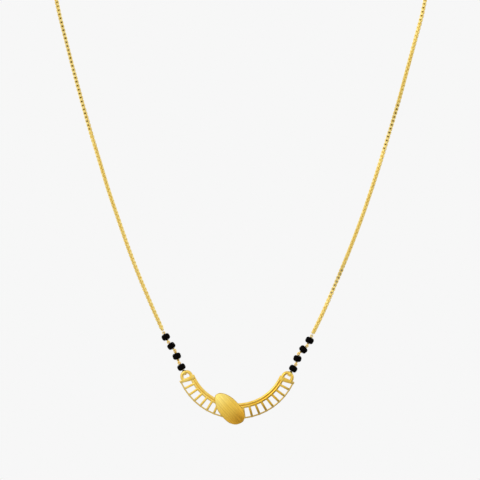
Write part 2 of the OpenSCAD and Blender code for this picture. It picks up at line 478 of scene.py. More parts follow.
# %% Catmull-Rom curve
def smooth_curve(points, steps, closed):
    """Points on a smooth curve through the given ones."""
    count = len(points)
    spans = count if closed else count - 1

    def near(i):
        return Vector(points[i % count] if closed else points[min(max(i, 0), count - 1)])

    curve = []
    for i in range(spans):
        before, start, end, after = near(i - 1), near(i), near(i + 1), near(i + 2)
        for k in range(steps):
            t = k / steps
            bow = 2 * before - 5 * start + 4 * end - after
            twist = 3 * start - before - 3 * end + after
            curve.append((2 * start + (end - before) * t + bow * t**2 + twist * t**3) / 2)
    return curve if closed else curve + [near(count - 1)]


# %% [markdown]
# ## Pendant: the leaf
#
# The leaf is stamped from sheet, domed, and soldered across the frame. Its top has a satin finish.
# Its rim, the cut edge of the sheet, is given a darker gold as painted shade, which draws a thin
# outline round the leaf.
#
# A circle of points is moved onto the outline, and the filled face is drawn down for the
# wall. The top is filled with ever smaller rings of the outline, which bend cleanly when it is
# domed. The dome is the skin of a wide barrel: a small radius across the leaf, a large one
# along it. The wall's upper edge is bevelled last.

# %% The leaf's outline, along and across its long axis
LEAF_OUTLINE = [
    (-5.7, 0.1), (-5.05, 1.35), (-3.5, 2.3), (-1.4, 2.87), (1, 2.9),
    (3.25, 2.6), (4.85, 1.7), (5.5, 0.15), (4.7, -1.8), (2.85, -2.95),
    (0.3, -3.15), (-2, -2.85), (-4.05, -1.95), (-5.35, -0.9),
]
LEAF_STEPS = 6
LEAF_BACK = 0.15
LEAF_CROWN = 1.5
DOME_ALONG = 18
DOME_ACROSS = 6.2
LEAF_RINGS = (0.97, 0.9, 0.78, 0.62, 0.44, 0.24)
RIM_WIDTH = 0.18
LEAF_PLACE = (-2.3, -15.35, 0)
LEAF_SLOPE = -47


def dome_height(along, across):
    """Height of the barrel's skin above a point of the leaf."""
    reach = DOME_ALONG - DOME_ACROSS + math.sqrt(DOME_ACROSS**2 - across**2)
    return LEAF_CROWN - DOME_ALONG + math.sqrt(reach**2 - along**2)


outline = smooth_curve(LEAF_OUTLINE, LEAF_STEPS, closed=True)
deselect_all()
bpy.ops.mesh.primitive_circle_add(vertices=len(outline), radius=1, fill_type="NGON")
leaf = named("pendant_leaf")
for point, target in zip(leaf.data.vertices, outline):
    point.co = (target.x, target.y, LEAF_CROWN)
print("points on the outline:", len(outline))

# %% Wall, rings and dome
open_mesh(leaf)
choose_all()
draw_out((0, 0, LEAF_BACK - LEAF_CROWN))
choose_all()
bpy.ops.mesh.normals_make_consistent(inside=False)
choose(leaf, "FACE", lambda face: face.normal.z > SQUARE)
outer = 1
for ring in LEAF_RINGS:
    bpy.ops.mesh.extrude_region_move()
    shrink = ring / outer
    press((shrink, shrink, 1), (0, 0, LEAF_CROWN))
    outer = ring
bpy.ops.mesh.poke()
close_mesh()
for point in leaf.data.vertices:
    if point.co.z > (LEAF_BACK + LEAF_CROWN) / 2:
        point.co.z = dome_height(point.co.x, point.co.y)
open_mesh(leaf)
tell(clean(leaf))

# %% [markdown]
# The faces that the bevel makes take the second slot of the leaf, a darker gold than the satin top
# next to it, painted as shade along the rim. The wall and the back take it too.

# %% The leaf's rim
RIM_PROFILE = 0.6
TOP_NORMAL = 0.6
SIDE_NORMAL = 0.3


def rim_edge(edge):
    """An edge between the leaf's upright wall and its domed top."""
    ups = sorted(face.normal.z for face in edge.link_faces)
    return abs(ups[0]) < SIDEWAYS and ups[1] > TOP_NORMAL


leaf.data.materials.append(None)
leaf.data.materials.append(None)
open_mesh(leaf)
print("rim edges:", choose(leaf, "EDGE", rim_edge))
bpy.ops.mesh.bevel(offset=RIM_WIDTH, segments=3, profile=RIM_PROFILE, material=1)
print("side and back faces:", choose(leaf, "FACE", lambda face: face.normal.z < SIDE_NORMAL))
leaf.active_material_index = 1
bpy.ops.object.material_slot_assign()
clean(leaf, smooth_degrees=60)
settle(leaf, STAND_UP @ shift(*LEAF_PLACE) @ turn(LEAF_SLOPE, "Z"))
tell(leaf, MM)

# %% [markdown]
# ## Where everything hangs
#
# Each bead has its own short wire with an eye at both ends, and the eyes hook into each other.
# So a strand is a zigzag between hinge points. The list gives those points from the chain
# down, to the right and up from the middle of the pendant's arcs. The last wire hooks into the
# half ring: from the list's last point a straight line goes to the middle of that ring's bend.

# %% The hinge points of both strands
LINKS = {
    "left": [(-21.63, 6.96), (-20.22, 4.17), (-18.34, 1.71), (-17.1, -1.9)],
    "right": [(21.89, 6.02), (20.53, 3.09), (18.09, 0.79), (17.24, -2.39)],
}
WAY = {"left": -1, "right": 1}


def half_ring_hold(side):
    """Where the last wire of a strand pulls on the half ring."""
    way = WAY[side]
    down = math.radians(END_ANGLE + way * PENDANT_TURN)
    outwards = Vector((way * math.sin(down), -math.cos(down)))
    beyond = Vector((way * math.cos(down), math.sin(down)))
    middle = HALF_RING_MIDDLE * outwards + HALF_RING_LEG * beyond
    pull = Vector(LINKS[side][-1]) - middle
    return middle + HALF_RING_RADIUS * pull.normalized()


def hinges(side):
    return [Vector(point) for point in LINKS[side]] + [half_ring_hold(side)]


def on_strand(side, number):
    """The length of a bead's wire, and the place where it stands on its lower hinge."""
    upper, lower = hinges(side)[number - 1], hinges(side)[number]
    rise = upper - lower
    tilt = Matrix.Rotation(math.atan2(rise.x, rise.y), 4, "Y")
    return rise.length, HANG @ shift(lower.x, 0, lower.y) @ tilt


for side in WAY:
    print(side, "wire lengths:", [round(on_strand(side, n)[0], 2) for n in (1, 2, 3, 4)])

# %% [markdown]
# ## Eye pins
#
# A pin starts as the free end of its lower eye. The wire goes most of the way round the eye,
# turns through a tight neck so that the eye sits square over the shank, runs straight up
# through the bead, and makes the same neck and eye at the top, a quarter turn round. The last
# pin of a strand has no such lower eye: it stands on a loop of strip round the half ring.
#
# `NECK` is the radius of the tight bend. A circle of that radius that touches both the shank
# and the eye has its middle `RISE` above or below the eye's own, by Pythagoras.

# %% The bent wire of a pin
PIN_WIRE = 0.29
PIN_SIDES = 10
EYE_RADIUS = 0.34
EYE_PULL = 0.01
EYE_TURN = 300
EYE_STEP = 15
NECK = 0.16
NECK_STEP = 24
RISE = math.sqrt((EYE_RADIUS + NECK) ** 2 - NECK**2)
NECK_BEND = math.degrees(math.atan2(RISE, NECK))


def top_eye(shank_from, length):
    """Draw the shank up from a height, then turn the neck and the eye that faces the front."""
    shank_to = length - RISE
    draw_out((0, 0, shank_to - shank_from))
    bend((NECK, 0, shank_to), (0, 1, 0), NECK_BEND, NECK_STEP)
    bend((0, 0, length), (0, 1, 0), -EYE_TURN, EYE_STEP)


def pin_with_two_eyes(length):
    middle = Vector((0, 0, EYE_RADIUS + EYE_PULL))
    free_end = math.radians(NECK_BEND - EYE_TURN)
    outwards = Vector((0, math.cos(free_end), math.sin(free_end)))
    heading = (0, -outwards.z, outwards.y)
    pin = cut_wire("pin", PIN_WIRE, middle + EYE_RADIUS * outwards, heading, PIN_SIDES)
    bend(middle, (1, 0, 0), EYE_TURN, EYE_STEP)
    bend((0, NECK, middle.z + RISE), (1, 0, 0), -NECK_BEND, NECK_STEP)
    top_eye(middle.z + RISE, length)
    return clean(pin)


def pin_on_a_loop(length, shank_from):
    pin = cut_wire("pin", PIN_WIRE, (0, 0, shank_from), (0, 0, 1), PIN_SIDES)
    top_eye(shank_from, length)
    return clean(pin)


# %% [markdown]
# The loop of strip is a disc on its edge. Its flat sides are inset by the thickness of the
# strip and bridged, which leaves a ring, and a small bevel softens its rims.

# %% The loop that holds the half ring
LOOP_RADIUS = 0.7
LOOP_WIDTH = 0.8
LOOP_WALL = 0.2
LOOP_ROUND = 0.06
LOOP_SIDES = 32
SLACK = 0.05
LOOP_MIDDLE = (HALF_RING_THICKNESS + LOOP_WALL) / 2 + SLACK - LOOP_RADIUS


def strip_loop():
    loop = begin(
        "loop",
        bpy.ops.mesh.primitive_cylinder_add,
        vertices=LOOP_SIDES,
        radius=LOOP_RADIUS + LOOP_WALL / 2,
        depth=LOOP_WIDTH,
        location=(0, 0, LOOP_MIDDLE),
        rotation=(0, math.radians(90), 0),
    )
    pierce(loop, X, LOOP_WALL)
    round_off(loop, lambda edge: edge.calc_face_angle() > 1, LOOP_ROUND, segments=2)
    return clean(loop)


# %% [markdown]
# Thinner wire is wrapped round the pin at both ends of a bead, on the last pin only above it,
# so that the bead cannot slide onto an eye. Each wrapping is a short cylinder with a ring of
# edges at every half turn. Every second ring is pressed in, which leaves one round bulge for
# each turn of the wire. A true spiral would look the same and take many more faces.

# %% Wire wrapped round a pin
WRAP_DIAMETER = 0.85
WRAP_WIRE = 0.2
WRAP_SIDES = 14
GROOVE = 0.8


def wrapping(low, high):
    turns = max(1, round((high - low) / WRAP_WIRE))
    half_turn = (high - low) / (2 * turns)
    wrap = begin(
        "wrapping",
        bpy.ops.mesh.primitive_cylinder_add,
        vertices=WRAP_SIDES,
        radius=WRAP_DIAMETER / 2,
        depth=high - low,
        location=(0, 0, (low + high) / 2),
    )
    for ring in range(1, 2 * turns):
        score((0, 0, low + ring * half_turn), (0, 0, 1))
    grooves = [low + 2 * done * half_turn for done in range(turns + 1)]

    def in_groove(edge):
        return any(all(abs(point.co.z - z) < WELD for point in edge.verts) for z in grooves)

    choose(wrap, "EDGE", in_groove)
    press((GROOVE, GROOVE, 1), (0, 0, 0))
    return clean(wrap, smooth_degrees=60)


# %% [markdown]
# A bead sits halfway between the two eyes of its pin. Each wrapping starts a little past the
# middle of the eye's wire and ends just short of the bead.

# %% Eight eye pins
BEAD_LENGTH = 1.85
WRAP_TUCK = 0.08
LAST = 4


def shank_of(number, length):
    """Where the shank leaves the lower eye and where it reaches the upper one."""
    foot = LOOP_MIDDLE + LOOP_RADIUS if number == LAST else 2 * EYE_RADIUS + EYE_PULL
    return foot, length - EYE_RADIUS


def eye_pin(name, number, length):
    foot, top = shank_of(number, length)
    bead_end = BEAD_LENGTH / 2 + SLACK
    parts = [wrapping((foot + top) / 2 + bead_end, top + WRAP_TUCK)]
    if number == LAST:
        parts += [pin_on_a_loop(length, foot), strip_loop()]
    else:
        lower_wrapping = wrapping(foot - WRAP_TUCK, (foot + top) / 2 - bead_end)
        parts += [pin_with_two_eyes(length), lower_wrapping]
    return solder(name, parts)


pins = {}
for side in WAY:
    for number in range(1, LAST + 1):
        length, place = on_strand(side, number)
        pins[side, number] = settle(eye_pin(f"pin_{side}_{number}", number, length), place)
tell(pins["left", 1], MM)
tell(pins["left", LAST], MM)

# %% [markdown]
# ## Black beads
#
# The beads are small barrels of black glass. One is made from a cylinder: its ends are inset
# to the size of the hole and bridged through, and then the rims are rounded with a bevel. No
# two glass beads are alike, so each copy is turned on its wire and made a hair larger or
# smaller.

# %% One bead
BEAD_DIAMETER = 2.45
BEAD_ROUND = 0.7
BEAD_ROUND_STEPS = 8
BEAD_HOLE = 0.6
HOLE_ROUND = 0.07
BEAD_SIDES = 40


def bead_rim(edge):
    """An edge of the circle at either end of the bead."""
    ends = [point.co for point in edge.verts]
    return abs(ends[0].z - ends[1].z) < WELD and all(
        abs(abs(end.z) - BEAD_LENGTH / 2) < WELD and abs(end.xy.length - BEAD_DIAMETER / 2) < WELD
        for end in ends
    )


bead = begin(
    "bead",
    bpy.ops.mesh.primitive_cylinder_add,
    vertices=BEAD_SIDES,
    radius=BEAD_DIAMETER / 2,
    depth=BEAD_LENGTH,
)
pierce(bead, Z, (BEAD_DIAMETER - BEAD_HOLE) / 2 - HOLE_ROUND, HOLE_ROUND)
round_off(bead, bead_rim, BEAD_ROUND, BEAD_ROUND_STEPS)
tell(clean(bead))

# %% Eight beads on their pins
BEAD_SIZES = (1.0, 0.985, 1.01, 0.99, 1.005, 1.01, 0.985, 1.0)
BEAD_TURN = 47

beads = {}
for side, number in pins:
    length, place = on_strand(side, number)
    place = place @ shift(0, 0, sum(shank_of(number, length)) / 2)
    place = place @ turn(BEAD_TURN * len(beads), "Z") @ Matrix.Scale(BEAD_SIZES[len(beads)], 4)
    beads[side, number] = settle(copy_of(bead, f"glass_{side}_{number}"), place)
bpy.data.objects.remove(bead)
tell(beads["left", 1], MM)

# %% [markdown]
# ## Box chain
#
# A box chain is a row of small square links, each a quarter turn from the next, so tight that
# it looks like a square cord. There are several hundred, so one link has only a few dozen
# faces: a cube, whose two large faces are inset and bridged into a square ring, with its
# corners cut by a bevel. Where two links meet, the cut corners leave a notch, which shows as a dark
# dot of shade where a flat side of the chain faces the viewer. So those corners take a darker
# material, a painted shade, whose nodes come further down.
#
# An Array modifier repeats one lying and one standing link in a row, and a Curve modifier lays
# the row along the route of the chain.

# %% One box link and its neighbour
LINK_LENGTH = 1.16
LINK_WIDTH = 1.1
LINK_WALL = 0.27
LINK_RIBBON = 0.52
LINK_CORNER = 0.22


def outer_corner(edge):
    """One of the four upright edges at the outside of a link."""
    ends = [point.co for point in edge.verts]
    upright = abs(ends[0].z - ends[1].z) > LINK_RIBBON / 2
    return upright and all(abs(end.x) + abs(end.y) > LINK_LENGTH - LINK_WALL for end in ends)


def cut_corner(face):
    """One of the four sloping faces that the bevel leaves."""
    return SIDEWAYS < abs(face.normal.x) < SQUARE


flat_link = begin(
    "flat_link",
    bpy.ops.mesh.primitive_cube_add,
    size=1,
    scale=(LINK_LENGTH, LINK_WIDTH, LINK_RIBBON),
)
# The second material paints shade into the notches
for material in ("chain_gold", "notch_shade_gold"):
    flat_link.data.materials.append(bpy.data.materials.new(material))
pierce(flat_link, Z, LINK_WALL)
round_off(flat_link, outer_corner, LINK_CORNER, segments=1)
print("cut corners:", choose(flat_link, "FACE", cut_corner))
flat_link.active_material_index = 1
bpy.ops.object.material_slot_assign()
tell(clean(flat_link, smooth_degrees=30))

# %% [markdown]
# The route runs up the front, over the side of the neck and round to the nape. The front
# points were measured on the photograph, the neck points are those of an average neck. Each
# end is soldered to a small ring, into whose wire the last link goes by `EYE_TUCK`.

# %% The route of each chain
FRONT_ROWS = [
    (13.5, -24.55, 25.5), (22.5, -28.4, 29.4), (31, -31.7, 32.9), (40, -34.85, 36.35),
    (49, -37.9, 39.45), (57.5, -40.5, 42.2), (66.5, -43.25, 44.95), (75.5, -45.8, 47.6),
    (84, -48.1, 49.9), (93, -50.4, 52.35), (101.5, -52.5, 54.6),
]
NECK_ROWS = [
    (55.2, 1.5, 110), (56.2, 6.5, 117), (55.6, 14, 122.5), (52.8, 22.5, 126),
    (47.5, 30.5, 128.5), (40, 37.5, 130), (31, 42.5, 131), (21.5, 45.5, 131.5),
    (12, 47, 131.5),
]
EYE_TUCK = 0.1
ROUTE_STEPS = 6


def front_points(side):
    """The measured points of one side, to the right and up from the middle of the arcs."""
    return [Vector((left if side == "left" else right, up)) for up, left, right in FRONT_ROWS]


def lean_of(side):
    """The direction in which the chain leaves the first bead's wire."""
    return (front_points(side)[0] - Vector(LINKS[side][0])).normalized()


def chain_route(side, back_end):
    """Points along the chain in millimetres from the nape."""
    past_ring = EYE_PULL + 2 * EYE_RADIUS + PIN_WIRE / 2 - EYE_TUCK
    lower = Vector(LINKS[side][0]) + past_ring * lean_of(side)
    points = [(point.x, 0, point.y) for point in [lower, *front_points(side)]]
    points += [(NAPE.x + WAY[side] * half, back, up) for half, back, up in NECK_ROWS]
    points = [Vector(point) - NAPE for point in points]
    return smooth_curve([*points, Vector((back_end, 0, 0))], ROUTE_STEPS, closed=False)


# %% [markdown]
# At the nape each chain and its end ring reach as far as the CAD part's chain solid, so their
# places are read back from those solids.

# %% The two ends at the nape
chain_reach = {side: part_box(f"chain_{side}") for side in WAY}
ring_reach = EYE_RADIUS + PIN_WIRE / 2
end_ring_x = {
    "left": chain_reach["left"][1].x / MM - ring_reach,
    "right": chain_reach["right"][0].x / MM + ring_reach,
}
back_end = {side: end_ring_x[side] + WAY[side] * (ring_reach - EYE_TUCK) for side in WAY}
print("chain ends across the nape:", {side: round(x, 3) for side, x in back_end.items()})

# %% [markdown]
# A helper curve of straight pieces between close points carries the links, and its tilt turns
# them, as a box chain always twists a little when it hangs. How far was read off the
# photograph: where the dark dots run down the middle, a flat side faces the viewer, and
# halfway between such stretches an edge does.

# %% The turning route
# Millimetres from the lower end, degrees turned
TURNS = {
    "left": [(0, 25), (20, 27), (45, 45), (69, 80), (98, 100), (200, 300)],
    "right": [(0, -45), (8, -35), (25, 35), (52, 55), (79, 125), (200, 350)],
}


def turn_at(side, run):
    """How far the chain has turned, in radians, that many millimetres from its lower end."""
    for (start, first), (end, last) in zip(TURNS[side], TURNS[side][1:]):
        if run <= end:
            return math.radians(first + (last - first) * (run - start) / (end - start))


def route_curve(side, points):
    data = bpy.data.curves.new("route", "CURVE")
    data.dimensions = "3D"
    data.twist_mode = "MINIMUM"
    line = data.splines.new("POLY")
    line.points.add(len(points) - 1)
    run = 0
    for i, point in enumerate(points):
        run += (point - points[max(i - 1, 0)]).length
        line.points[i].co = (*point, 1)
        line.points[i].tilt = turn_at(side, run)
    route = bpy.data.objects.new("route", data)
    bpy.context.collection.objects.link(route)
    return route, run


# %% [markdown]
# The number of links is even and fits the length, and the step from link to link is trimmed so
# that the row ends exactly at the end ring.
#
# The photograph shows the dots only where a flat side faces the viewer squarely, so the painted
# shade is kept only there. A notch wall slopes at 45 degrees, so the y of its normal is 0.71 there
# and less where the chain has turned on. Walls with less than `FACES_FRONT` go back to the first
# material.

# %% Laying the links along the route
LINK_STEP = 0.6
FACES_FRONT = 0.67


def lay_chain(side):
    route, length = route_curve(side, chain_route(side, back_end[side]))
    pairs = round((length - LINK_LENGTH) / (2 * LINK_STEP))
    step = (length - LINK_LENGTH) / (2 * pairs - 1)
    standing = settle(copy_of(flat_link), turn(90, "X"))
    settle(standing, shift(step, 0, 0))
    chain = solder("links", [copy_of(flat_link), standing])
    settle(chain, shift(LINK_LENGTH / 2, 0, 0))
    row = chain.modifiers.new("row", "ARRAY")
    row.count = pairs
    row.use_relative_offset = False
    row.use_constant_offset = True
    row.constant_offset_displace = (2 * step, 0, 0)
    chain.modifiers.new("along", "CURVE").object = route
    take_up(chain)
    bpy.ops.object.modifier_apply(modifier="row")
    bpy.ops.object.modifier_apply(modifier="along")
    bpy.data.objects.remove(route)
    # The dark notch material is painted shade, kept only on walls that face the viewer
    notches = [face for face in chain.data.polygons if face.material_index == 1]
    turned_away = [face for face in notches if abs(face.normal.y) < FACES_FRONT]
    for face in turned_away:
        face.material_index = 0
    print(f"{side}: {2 * pairs} links, {length:.1f} mm of chain")
    print(f"{len(notches) - len(turned_away)} of {len(notches)} notch walls stay dark")
    return settle(chain, TO_METRES)


# %% [markdown]
# The ring at the lower end is seen edge-on, because the first bead's wire hooks into it with
# its front-facing eye. The ring at the nape faces the front. Both turn their gap to the chain.

# %% The ring at an end
RING_GAP = 24
RING_STEP = 14


def end_ring(place):
    """The small ring at an end of the chain. Its gap is closed by the solder on the last link."""
    first = 180 + RING_GAP / 2
    sweep = 360 - RING_GAP
    ring = wire_arc("ring", EYE_RADIUS, PIN_WIRE, first, sweep, RING_STEP, PIN_SIDES)
    return settle(ring, place)


# %% Both chains
chains = {}
for side in WAY:
    lean = lean_of(side)
    hook = Vector(LINKS[side][0]) + (EYE_PULL + EYE_RADIUS) * lean
    edge_on = Matrix.Rotation(math.atan2(lean.x, lean.y) + math.radians(90), 4, "Y")
    lower = end_ring(HANG @ shift(hook.x, 0, hook.y) @ edge_on)
    nape = TO_METRES @ shift(end_ring_x[side], 0, 0) @ turn(90, "X")
    upper = end_ring(nape @ turn(90 * (1 + WAY[side]), "Z"))
    chains[side] = solder(f"box_chain_{side}", [lay_chain(side), lower, upper])
    tell(chains[side], MM)
bpy.data.objects.remove(flat_link)

# %% [markdown]
# ## Finishes: arithmetic with nodes
#
# A finish is a small sum: some noise times a strength, plus a base value. So a number that
# varies over a surface gets a class of its own, and adding or multiplying such numbers adds
# the Math nodes. Every other node comes from one method. The Mix node has sockets for several
# kinds of data, so those for colours are named by their numbers.

# %% Numbers that vary over a surface
class Amount:
    """A number or colour that comes out of a node."""

    def __init__(self, recipe, socket):
        self.recipe = recipe
        self.socket = socket

    def math(self, operation, first, second):
        return self.recipe.node("ShaderNodeMath", {"operation": operation}, {0: first, 1: second})

    def __add__(self, other):
        return self.math("ADD", self, other)

    def __sub__(self, other):
        return self.math("SUBTRACT", self, other)

    def __rsub__(self, other):
        return self.math("SUBTRACT", other, self)

    def __mul__(self, other):
        return self.math("MULTIPLY", self, other)

    __radd__ = __add__
    __rmul__ = __mul__


# %% The nodes of one finish
MIX_RESULT = 2
MIX_FACTOR, MIX_FIRST, MIX_SECOND = 0, 6, 7


class Recipe:
    """The nodes of one finish."""

    def __init__(self, owner):
        owner.use_nodes = True
        self.name = owner.name
        self.tree = owner.node_tree
        self.tree.nodes.clear()

    def node(self, kind, settings=None, inputs=None, output=0):
        """Add a node: first its settings, then the values or links of its sockets."""
        made = self.tree.nodes.new(kind)
        for name, value in (settings or {}).items():
            setattr(made, name, value)
        for name, value in (inputs or {}).items():
            if isinstance(value, Amount):
                self.tree.links.new(value.socket, made.inputs[name])
            else:
                made.inputs[name].default_value = value
        return Amount(self, made.outputs[output]) if made.outputs else None

    def vector(self, operation, inputs, output="Value"):
        return self.node("ShaderNodeVectorMath", {"operation": operation}, inputs, output)

    def place(self):
        """Where a point of the surface is, in metres, in the object's own frame."""
        return self.node("ShaderNodeTexCoord", output="Object")

    def along(self, where, axis):
        return self.vector("DOT_PRODUCT", {0: where, 1: axis})

    def distance(self, where):
        return self.vector("LENGTH", {0: where})

    def noise(self, where, size_mm, detail=2.0):
        """Cloudy noise whose patches are about this many millimetres across."""
        inputs = {"Vector": where, "Scale": 1 / (size_mm * MM), "Detail": detail}
        return self.node("ShaderNodeTexNoise", inputs=inputs)

    def ramp(self, amount, low, high, to_low=0.0, to_high=1.0):
        """Rescale an amount smoothly from one range to another."""
        inputs = {0: amount, "From Min": low, "From Max": high, "To Min": to_low, "To Max": to_high}
        return self.node("ShaderNodeMapRange", {"interpolation_type": "SMOOTHSTEP"}, inputs)

    def blend(self, amount, first, second):
        inputs = {MIX_FACTOR: amount, MIX_FIRST: first, MIX_SECOND: second}
        return self.node("ShaderNodeMix", {"data_type": "RGBA"}, inputs, MIX_RESULT)

    def darker(self, colour, share):
        return self.vector("SCALE", {0: colour, "Scale": share}, "Vector")

    def bump(self, height, height_mm):
        inputs = {"Height": height, "Distance": height_mm * MM}
        return self.node("ShaderNodeBump", inputs=inputs)

    def surface(self, **inputs):
        """The shader, with spaces for the underscores in its sockets' names."""
        sockets = {name.replace("_", " "): value for name, value in inputs.items()}
        shader = self.node("ShaderNodeBsdfPrincipled", inputs=sockets)
        self.node("ShaderNodeOutputMaterial", inputs={"Surface": shader})
        print(f"{self.name}: {len(self.tree.nodes)} nodes")


# %% [markdown]
# ## Polished gold
#
# Polished gold takes its looks from what it reflects. It is believable when it is no perfect
# mirror: the polish is cloudy in patches, the buffing wheel leaves very shallow waves, and the
# alloy shifts between a paler and a redder yellow. The chain and the eye pins are paler and less
# polished. The leaf's rim and the notches of the chain are duller, and darker with painted shade.

# %% Gold finishes
# Deep tint, pale tint, roughness where smooth and where cloudy, size of the patches in mm
GOLDS = {
    "polished_gold": ((0.93, 0.61, 0.1, 1), (0.97, 0.72, 0.19, 1), 0.1, 0.24, 1.6),
    "pin_gold": ((1.0, 0.7, 0.12, 1), (1.0, 0.78, 0.2, 1), 0.3, 0.45, 1.6),
    "chain_gold": ((0.92, 0.71, 0.22, 1), (0.97, 0.8, 0.31, 1), 0.48, 0.6, 0.9),
    "rim_shade_gold": ((0.58, 0.37, 0.06, 1), (0.7, 0.5, 0.12, 1), 0.25, 0.4, 0.9),
    "notch_shade_gold": ((0.3, 0.2, 0.06, 1), (0.42, 0.29, 0.1, 1), 0.5, 0.65, 0.9),
}
TINT_PATCHES = (0.35, 0.65)
CLOUDS = (0.3, 0.7)
BUFFING_MM = 0.35
BUFFING_DEPTH_MM = 0.006


def gold(name, row, change=None):
    """Gold whose tint and polish vary in patches. `change` may alter the tint further."""
    deep, pale, smooth, cloudy, patch_mm = GOLDS[row]
    material = bpy.data.materials.get(name) or bpy.data.materials.new(name)
    recipe = Recipe(material)
    where = recipe.place()
    patches = recipe.ramp(recipe.noise(where, patch_mm), *TINT_PATCHES)
    tint = recipe.blend(patches, deep, pale)
    polish = recipe.noise(where, patch_mm / 2, detail=4.0)
    recipe.surface(
        Base_Color=change(recipe, tint) if change else tint,
        Roughness=recipe.ramp(polish, *CLOUDS, smooth, cloudy),
        Normal=recipe.bump(recipe.noise(where, BUFFING_MM), BUFFING_DEPTH_MM),
        Metallic=1.0,
    )
    return material


golds = {name: gold(name, name) for name in GOLDS}

# %% [markdown]
# The right half of the pendant's frame is painted deeper in colour as shade, most of all on the
# outer side of the band and less towards its end. The rungs nearest the leaf are painted darker
# there, also as shade. The thin outer wire and the filed ends of the rungs take a greyer, darker
# gold, with painted shade added on the right half. All this follows from where a point lies.

# %% The frame's gold, with painted shade
# Painted shade: these golds and shares darken the right half, the band's outer flank and the rungs
RIGHT_SHADE_GOLD = (0.86, 0.52, 0.035, 1)
FLANK_SHADE_GOLD = (0.42, 0.24, 0.03, 1)
WIRE_GOLD = (0.72, 0.53, 0.17, 1)
RIGHT_SHADE_SHARE = 0.8
FLANK_SHADE_SHARE = 0.6
RUNG_SHADE_SHARE = 0.5
WIRE_SHADE = 0.4
WIRE_SHARE = 0.8
# In millimetres: where it rises, where it falls again, and what is left of it beyond
RIGHT_HALF = ((-2, 7), (10, 14), 0.4)
SHADED_RUNGS = ((0, 3), (8, 10.5), 0.1)
BAND_FLANK = ((14.8, 15.1), (15.35, 15.7), 0)
BAND_FROM = (13.9, 14.9)
RUNGS_FROM = (15.6, 16)
WIRE_FROM = (17.3, 17.9)

arcs_middle = STAND_UP @ Vector()


def frame_painted_shade(recipe, tint):
    """Paint shade into the tint, and grey it near the outer wire, by how far right a point lies and
    how far from the arcs' middle.
    """
    def rise(amount, span, low=0.0, high=1.0):
        return recipe.ramp(amount, span[0] * MM, span[1] * MM, low, high)

    def hump(amount, rising, falling, rest):
        return rise(amount, rising) * rise(amount, falling, 1.0, rest)

    away = recipe.vector("SUBTRACT", {0: recipe.place(), 1: arcs_middle}, "Vector")
    radius = recipe.distance(away)
    across = recipe.along(away, Vector((1, 0, 0)))
    right = hump(across, *RIGHT_HALF)
    tint = recipe.blend(right * rise(radius, BAND_FROM) * RIGHT_SHADE_SHARE, tint, RIGHT_SHADE_GOLD)
    tint = recipe.blend(right * hump(radius, *BAND_FLANK) * FLANK_SHADE_SHARE, tint, FLANK_SHADE_GOLD)
    # Painted shade on the rungs nearest the leaf
    shaded = hump(across, *SHADED_RUNGS) * rise(radius, RUNGS_FROM)
    tint = recipe.blend(shaded * RUNG_SHADE_SHARE, tint, FLANK_SHADE_GOLD)
    # The outer wire is greyer, with painted shade on the right half
    wire_tint = recipe.blend(right * WIRE_SHADE, WIRE_GOLD, FLANK_SHADE_GOLD)
    return recipe.blend(rise(radius, WIRE_FROM) * WIRE_SHARE, tint, wire_tint)


frame_gold = gold("frame_gold", "polished_gold", frame_painted_shade)

# %% [markdown]
# ## Satin gold
#
# The leaf was brushed from end to end. The scratches are far longer than wide, so their noise
# is read on a stretched surface: distances across the leaf count fully, distances along it
# hardly at all. Fine scratches are mixed with the broader lines that show in the photograph.
# They raise the surface by hundredths of a millimetre and make the gloss uneven, which spreads
# every reflection sideways. The tint holds painted light and shade: lighter at the leaf's upper end
# and deeper towards its lower end.

# %% The leaf's satin finish
LINE_SPACING = 0.32
LINE_SHARE = 0.45
LINE_DEPTH_MM = 0.03
LINE_PATCHES = (0.36, 0.64)
LINE_SHADES = (0.82, 1.0)
SCRATCH_SPACING = 0.11
STRETCH = 0.03
SATIN_ROUGHNESS = (0.32, 0.46)
LIT_SATIN = (1.0, 0.78, 0.21, 1)
WARM_SATIN = (0.99, 0.65, 0.1, 1)
SHADED_SATIN = (0.98, 0.52, 0.05, 1)
LEAF_SHADE_REACH = 4.5 * MM

slope = math.radians(LEAF_SLOPE)
along_leaf = Vector((math.cos(slope), 0, math.sin(slope)))
across_leaf = Vector((-math.sin(slope), 0, math.cos(slope)))
leaf_middle = STAND_UP @ Vector(LEAF_PLACE)

satin_gold = bpy.data.materials.new("satin_gold")
satin = Recipe(satin_gold)
where = satin.place()
down_the_leaf = satin.along(where, along_leaf)
brushed = satin.node(
    "ShaderNodeCombineXYZ",
    inputs={"X": satin.along(where, across_leaf), "Y": down_the_leaf * STRETCH},
)
lines = satin.noise(brushed, LINE_SPACING, detail=0.0)
scratches = satin.noise(brushed, SCRATCH_SPACING, detail=3.0)
mixed = lines * LINE_SHARE + scratches * (1 - LINE_SHARE)
past_middle = down_the_leaf - leaf_middle.dot(along_leaf)
# Painted light at the upper end of the leaf and painted shade at its lower end
tint = satin.blend(satin.ramp(past_middle, -LEAF_SHADE_REACH, 0), LIT_SATIN, WARM_SATIN)
tint = satin.blend(satin.ramp(past_middle, 0, LEAF_SHADE_REACH), tint, SHADED_SATIN)
satin.surface(
    Base_Color=satin.darker(tint, satin.ramp(mixed, *LINE_PATCHES, *LINE_SHADES)),
    Roughness=satin.ramp(scratches, *CLOUDS, *SATIN_ROUGHNESS),
    Normal=satin.bump(mixed, LINE_DEPTH_MM),
    Metallic=1.0,
)

# %% [markdown]
# ## Black glass
#
# The beads are opaque black glass, so small that almost nothing is left of a reflection, only
# a dim glint. A low specular level keeps their rims dark against the white backdrop, and a
# faint unevenness keeps the glints from looking machine-made.

